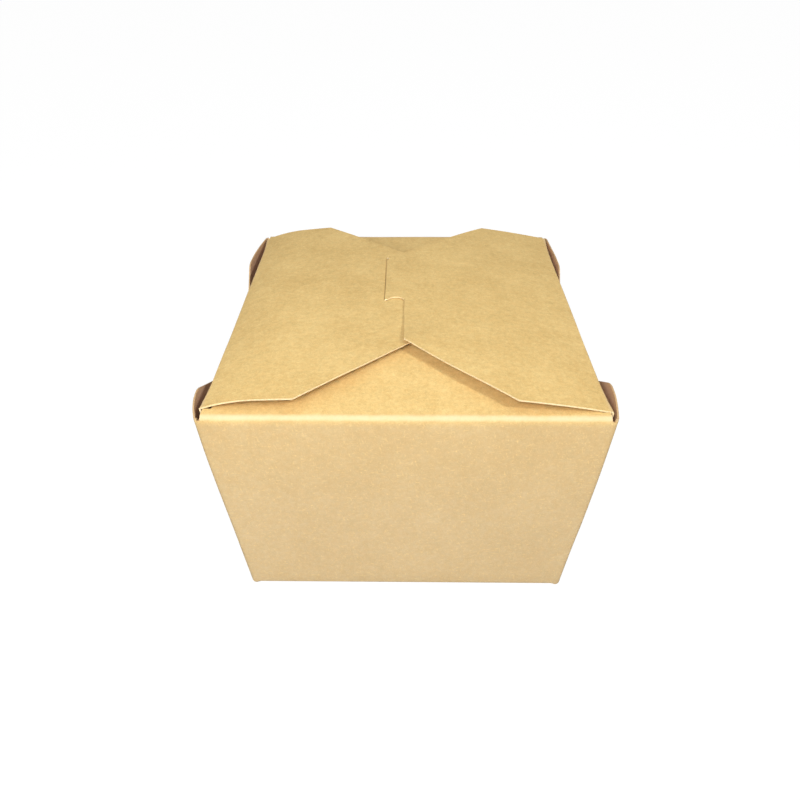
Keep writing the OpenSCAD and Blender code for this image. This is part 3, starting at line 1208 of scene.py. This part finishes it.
class Finisher:
    """Builds the node tree of a material or of the world."""

    def __init__(self, owner: bpy.types.Material | bpy.types.World) -> None:
        """Empties the owner's tree and keeps the owner."""
        owner.use_nodes = True
        owner.node_tree.nodes.clear()
        self.owner = owner

    def node(self, kind: str, settings: dict[str, object] | None = None,
             inputs: dict[str | int, object] | None = None) -> bpy.types.Node:
        """Adds a node.

        Args:
            kind: Type of the node.
            settings: Attributes that are set first; "stops" fills a colour ramp.
            inputs: Values or links by socket name or number.

        Returns:
            The new node.
        """
        made = self.owner.node_tree.nodes.new(kind)
        for key, value in (settings or {}).items():
            if key == "stops":
                self._fill_ramp(made, value)
            else:
                setattr(made, key, value)
        for key, value in (inputs or {}).items():
            socket = made.inputs[key]
            if isinstance(value, Value):
                value = value.socket
            if isinstance(value, bpy.types.NodeSocket):
                self.owner.node_tree.links.new(value, socket)
            else:
                socket.default_value = value
        return made

    def _fill_ramp(self, ramp: bpy.types.Node, stops: Stops) -> None:
        """Sets the grey stops of a colour ramp.

        Args:
            ramp: The Color Ramp node.
            stops: Place and grey of each stop.
        """
        points = ramp.color_ramp.elements
        while len(points) < len(stops):
            points.new(1.0)
        for point, (place, grey) in zip(points, stops):
            point.position = place
            point.color = (grey, grey, grey, 1)

    def place(self) -> bpy.types.NodeSocket:
        """The object coordinates."""
        return self.node("ShaderNodeTexCoord").outputs["Object"]

    def axes(self) -> list[Value]:
        """The three object coordinates as numbers."""
        parts = self.node("ShaderNodeSeparateXYZ", {}, {0: self.place()})
        return [Value(self, part) for part in parts.outputs]

    def rise(self, value: Value, zone: Zone) -> Value:
        """A smooth rise from 0 to 1 between the two values of a zone."""
        made = self.node("ShaderNodeMapRange", {"interpolation_type": "SMOOTHSTEP"}, {
            "Value": value, "From Min": zone[0], "From Max": zone[1]})
        return Value(self, made.outputs[0])

    def stretched(self, scale: Triple, turn: Triple) -> bpy.types.NodeSocket:
        """The object coordinates, turned in degrees and then stretched."""
        turned = self.node("ShaderNodeMapping", {"vector_type": "POINT"}, {
            "Vector": self.place(), "Rotation": tuple(math.radians(a) for a in turn)})
        return self.node("ShaderNodeMapping", {"vector_type": "POINT"}, {
            "Vector": turned.outputs[0], "Scale": scale}).outputs[0]

    def noise(self, where: bpy.types.NodeSocket, layer: Speckle) -> Value:
        """Smooth noise from 0 to 1."""
        made = self.node("ShaderNodeTexNoise", {"noise_dimensions": "3D"}, {
            "Vector": where, "Scale": layer.scale, "Detail": layer.detail, "Roughness": layer.rough})
        return Value(self, made.outputs[0])

    def ramp(self, value: Value, stops: Stops) -> Value:
        """A number passed through grey stops."""
        return Value(self, self.node("ShaderNodeValToRGB", {"stops": stops}, {0: value}).outputs[0])

    def mix(self, factor: Value, first: object, second: object,
            blend: str = "MIX") -> bpy.types.NodeSocket:
        """A colour between two colours, or of one on the other."""
        made = self.node("ShaderNodeMix", {"data_type": "RGBA", "blend_type": blend},
                         {0: factor, 6: first, 7: second})
        return made.outputs[2]

    def board(self, colour: bpy.types.NodeSocket, rough: Value | float, height: Value,
              relief: float) -> bpy.types.Material:
        """Ends the tree of a board's material.

        Args:
            colour: Base colour.
            rough: Roughness.
            height: Share of the relief at each place.
            relief: Depth of the relief in metres.

        Returns:
            The finished material.
        """
        bump = self.node("ShaderNodeBump", {}, {"Height": height, "Distance": relief, "Strength": 1.0})
        shader = self.node("ShaderNodeBsdfPrincipled", {}, {
            "Base Color": colour, "Roughness": rough, "Normal": bump.outputs[0]})
        return self.output("Material", shader)

    def output(self, kind: str, shader: bpy.types.Node) -> bpy.types.Material | bpy.types.World:
        """Ends the tree with the output of its kind, Material or World, and gives its owner."""
        self.node("ShaderNodeOutput" + kind, {}, {"Surface": shader.outputs[0]})
        return self.owner


def linear(colour: Rgb) -> tuple[float, ...]:
    """A colour given on the 0 to 255 scale, in linear light."""
    parts = [part / 255 for part in colour]
    return (*(p / 12.92 if p <= 0.04045 else ((p + 0.055) / 1.055) ** 2.4 for p in parts), 1.0)


@dataclass(frozen=True)
class KraftFinish:
    """Brown kraft board: mottled pulp with fibres, painted shade on the walls, and a pale band along
    the folds that is partly wear and partly painted highlight.

    A zone is the stretch of a coordinate, in metres, over which a mask rises.
    """

    name: str
    body: Rgb
    deep: Rgb
    pale: Rgb
    worn_and_lit: Rgb
    roughness: float = 0.72
    sheen_mottle: float = 0.16
    relief: float = 0.00003
    mottle_relief: float = 0.6
    fibre_relief: float = 0.25
    contrast: float = 1.2
    wall_calm: float = 0.6
    wall_z: Zone = (0.0606, 0.0638)
    # Painted shade: below the rim the walls are multiplied by a darker colour, with a cool cast at the
    # foot that stands in for light bounced from the floor.
    wall_shade_z: Zone = (0.022, 0.062)
    low_painted_shade: Triple = (0.84, 0.88, 1.2)
    rim_painted_shade: Triple = (0.79, 0.80, 0.98)
    # The fold and hinge zones place the pale band on the rounded folds: partly real wear of the
    # fibres, partly a painted highlight where the folds catch the light.
    fold_y: Zone = (0.0624, 0.0638)
    fold_z: Zone = (0.0624, 0.0634)
    hinge_x: Zone = (0.0520, 0.0525)
    hinge_z: Zone = (0.0628, 0.0635)
    hinge_wear_and_highlight: float = 0.5
    even_wear_and_highlight: float = 0.35
    patchy_wear_and_highlight: float = 0.7
    cloud: Speckle = Speckle(55, weight=0.7)
    blotch: Speckle = Speckle(260, weight=0.45)
    mottle: Speckle = Speckle(850, rough=0.65, weight=0.95)
    grain: Speckle = Speckle(3000, detail=2, weight=0.95)
    rust: Speckle = Speckle(620, rough=0.7, weight=0.22)
    rust_stops: Stops = ((0, 1), (0.40, 1), (0.62, 0))
    fibre: Speckle = Speckle(1, detail=2, rough=0.5, weight=0.35)
    fibre_stops: Stops = ((0, 0), (0.60, 0), (0.74, 1))
    fibre_lays: tuple[tuple[Triple, Triple], ...] = (
        ((300, 2600, 2600), (0, 0, 12)),
        ((2400, 330, 2400), (18, 0, -20)),
        ((2500, 2500, 320), (10, 14, 0)),
    )

    def material(self) -> bpy.types.Material:
        """Makes the material.

        Returns:
            The finished material.
        """
        f = Finisher(bpy.data.materials.new(self.name))
        where = f.place()
        layers = (self.cloud, self.blotch, self.mottle, self.grain)
        values = [f.noise(where, layer) for layer in layers]
        blotch, mottle, grain = values[1:]
        x, y, z = f.axes()
        # Mask of the walls below the rim: calmer mottle there, and the painted shade further down.
        wall = 1 - f.rise(z, self.wall_z)
        uneven = sum((value - 0.5) * layer.weight for value, layer in zip(values, layers))
        tone = 0.5 + uneven * (self.contrast - wall * self.wall_calm)
        colour = f.mix(tone, linear(self.deep), linear(self.pale))
        rust = f.ramp(f.noise(where, self.rust), self.rust_stops)
        colour = f.mix(rust * self.rust.weight, colour, linear(self.body))
        # Painted shade on the walls: darker under the rim, with a cool cast at the foot standing in
        # for light bounced from the floor.
        painted_shade = f.mix(f.rise(z, self.wall_shade_z), (*self.low_painted_shade, 1), (*self.rim_painted_shade, 1))
        colour = f.mix(wall, colour, painted_shade, "MULTIPLY")
        light = sum(f.ramp(f.noise(f.stretched(scale, turn), self.fibre), self.fibre_stops)
                    for scale, turn in self.fibre_lays)
        colour = f.mix(light * self.fibre.weight, colour, linear(self.pale))
        # Pale band on the folds: partly wear, partly painted highlight.
        wear_and_highlight = self._wear_and_highlight(f, x, y, z) * (self.even_wear_and_highlight + blotch * self.patchy_wear_and_highlight)
        colour = f.mix(wear_and_highlight, colour, linear(self.worn_and_lit))
        rough = self.roughness + (mottle - 0.5) * self.sheen_mottle
        pulp = mottle * self.mottle_relief + grain * (1 - self.mottle_relief)
        return f.board(colour, rough, pulp + light * self.fibre_relief, self.relief)

    def _wear_and_highlight(self, f: Finisher, x: Value, y: Value, z: Value) -> Value:
        """Share of the pale fold band, partly wear and partly painted highlight: on the rim's end
        folds and along the hinge lines.
        """
        hinge = f.rise(x.size(), self.hinge_x) * f.rise(z, self.hinge_z)
        return f.rise(y.size(), self.fold_y) * f.rise(z, self.fold_z) + hinge * self.hinge_wear_and_highlight


@dataclass(frozen=True)
class EdgeFinish:
    """Cut edge of the board: pulp in thin plies, in the colours it is given; the box uses a pale copy,
    partly paler pulp and partly painted highlight, and a darker copy that is painted shade.
    """

    name: str
    body: Rgb
    deep: Rgb
    roughness: float = 0.85
    relief: float = 0.00005
    pulp: Speckle = Speckle(1500)
    stops: Stops = ((0.3, 0), (0.7, 1))

    def material(self) -> bpy.types.Material:
        """Makes the material.

        Returns:
            The finished material.
        """
        f = Finisher(bpy.data.materials.new(self.name))
        pulp = f.noise(f.place(), self.pulp)
        colour = f.mix(f.ramp(pulp, self.stops), linear(self.deep), linear(self.body))
        return f.board(colour, self.roughness, pulp, self.relief)


@dataclass(frozen=True)
class SoftBox:
    """A square area lamp that faces the box."""

    name: str
    place: Triple
    side: float
    power: float
    aim: Triple = (0.0, 0.0, 0.04)

    def hang(self) -> None:
        """Adds the lamp to the scene."""
        data = bpy.data.lights.new(self.name, "AREA")
        data.shape = "SQUARE"
        data.size = self.side
        data.energy = self.power
        lamp = bpy.data.objects.new(self.name, data)
        bpy.context.scene.collection.objects.link(lamp)
        turn = (Vector(self.aim) - Vector(self.place)).to_track_quat("-Z", "Y").to_matrix().to_4x4()
        lamp.matrix_world = Matrix.Translation(self.place) @ turn


@dataclass(frozen=True)
class Studio:
    """White floor, soft lights and the camera at the photograph's angle, in metres."""

    camera_place: Triple = (0.0, -0.2384, 0.1766)
    focal_pixels: float = 820.7
    sensor: float = 36.0
    clip: Zone = (0.01, 50.0)
    pitch: float = 31.67
    yaw: float = 0.46
    roll: float = -0.07
    floor_side: float = 6.0
    floor_z: float = -0.0001
    floor_grey: float = 0.3
    floor_glow: float = 0.75
    floor_strength: float = 1.28
    ambient: float = 0.32
    lamps: tuple[SoftBox, ...] = (
        SoftBox("key", (0.42, -0.43, 0.55), 0.11, 2.5),
        SoftBox("fill", (-0.10, -0.42, 0.297), 0.16, 2.2),
        SoftBox("high", (-0.1, -0.1, 1.2), 0.8, 1.5),
    )

    def build(self) -> None:
        """Sets up everything around the box."""
        self._camera()
        self._floor()
        for lamp in self.lamps:
            lamp.hang()
        self._world()
        bpy.context.scene.view_settings.view_transform = "Standard"

    def _camera(self) -> None:
        """Places the camera."""
        data = bpy.data.cameras.new("camera")
        data.sensor_width = self.sensor
        data.lens = self.sensor * self.focal_pixels / PHOTO_SIDE
        data.clip_start, data.clip_end = self.clip
        camera = bpy.data.objects.new("camera", data)
        bpy.context.scene.collection.objects.link(camera)
        turn = (Matrix.Rotation(math.radians(self.yaw), 4, "Z")
                @ Matrix.Rotation(math.radians(90 - self.pitch), 4, "X")
                @ Matrix.Rotation(math.radians(self.roll), 4, "Z"))
        camera.matrix_world = Matrix.Translation(self.camera_place) @ turn
        bpy.context.scene.camera = camera

    def _floor(self) -> None:
        """Lays the floor: white to the eye, with the box's soft shadow on it."""
        bpy.ops.object.select_all(action="DESELECT")
        bpy.ops.mesh.primitive_plane_add(size=self.floor_side, location=(0, 0, self.floor_z))
        floor = bpy.context.active_object
        floor.name = "floor"
        bpy.ops.object.transform_apply(location=True, rotation=True, scale=True)
        f = Finisher(bpy.data.materials.new("white_floor"))
        grey = (self.floor_grey, self.floor_grey, self.floor_grey, 1)
        paper = f.node("ShaderNodeBsdfDiffuse", {}, {"Color": grey})
        glow = f.node("ShaderNodeEmission", {}, {
            "Color": (1, 1, 1, 1), "Strength": self.floor_strength})
        rays = f.node("ShaderNodeLightPath")
        seen = Value(f, rays.outputs["Is Camera Ray"]) + Value(f, rays.outputs["Is Glossy Ray"])
        both = f.node("ShaderNodeMixShader", {}, {
            0: seen * self.floor_glow, 1: paper.outputs[0], 2: glow.outputs[0]})
        floor.data.materials.append(f.output("Material", both))

    def _world(self) -> None:
        """White to the eye, soft light for the rest."""
        f = Finisher(bpy.data.worlds.new("studio"))
        unseen, seen = (f.node("ShaderNodeBackground", {}, {
            "Color": (1, 1, 1, 1), "Strength": strength}) for strength in (self.ambient, 1.0))
        rays = f.node("ShaderNodeLightPath")
        both = f.node("ShaderNodeMixShader", {}, {
            0: rays.outputs["Is Camera Ray"], 1: unseen.outputs[0], 2: seen.outputs[0]})
        bpy.context.scene.world = f.output("World", both)


def report(piece: bpy.types.Object) -> None:
    """Logs a finished piece's name, faces and size."""
    size = ", ".join(f"{side / MM:.1f}" for side in piece.dimensions)
    log.info("%s: %d faces, %s mm", piece.name, len(piece.data.polygons), size)


def main() -> None:
    """Builds the box and its studio."""
    noise.seed_set(NOISE_SEED)
    sizes = BoxSizes()
    # Each kraft finish's last colour is its pale fold band: partly wear, partly painted highlight.
    outer = KraftFinish("kraft_face", (222, 174, 99), (196, 162, 98), (234, 205, 139),
                        (216, 188, 150)).material()
    # The inside finish is darker and redder than the face: partly the coated inside, partly painted
    # shade of the pockets where it shows.
    inner = KraftFinish("kraft_inside", (206, 160, 118), (192, 150, 110), (222, 184, 142),
                        (222, 184, 142), roughness=0.6).material()
    # Cut edges: the pale copy on the walls and flap is partly paler pulp and partly painted highlight;
    # the darker copy on the tray is painted shade for its edges that lie in shade.
    edge = EdgeFinish("cut_edge", (236, 216, 172), (212, 186, 138)).material()
    painted_shade_edge = EdgeFinish("painted_shade_edge", (206, 172, 126), (186, 152, 108)).material()
    lid = RightFlap(sizes)
    tray = TrayEnds(sizes).build((outer, painted_shade_edge, inner))
    walls = [SideWall(sizes, side).build((outer, edge, inner)) for side in Side]
    flap = lid.build((outer, edge, inner))
    for piece in (tray, *walls):
        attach(piece, "carton")
    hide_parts("carton")
    lid.from_hinge(lid.bend_start)
    lid.from_hinge(lid.bend_end)
    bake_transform(flap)
    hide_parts("right_flap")
    for piece in (tray, *walls, flap):
        report(piece)
    Studio().build()


if __name__ == "__main__":
    main()
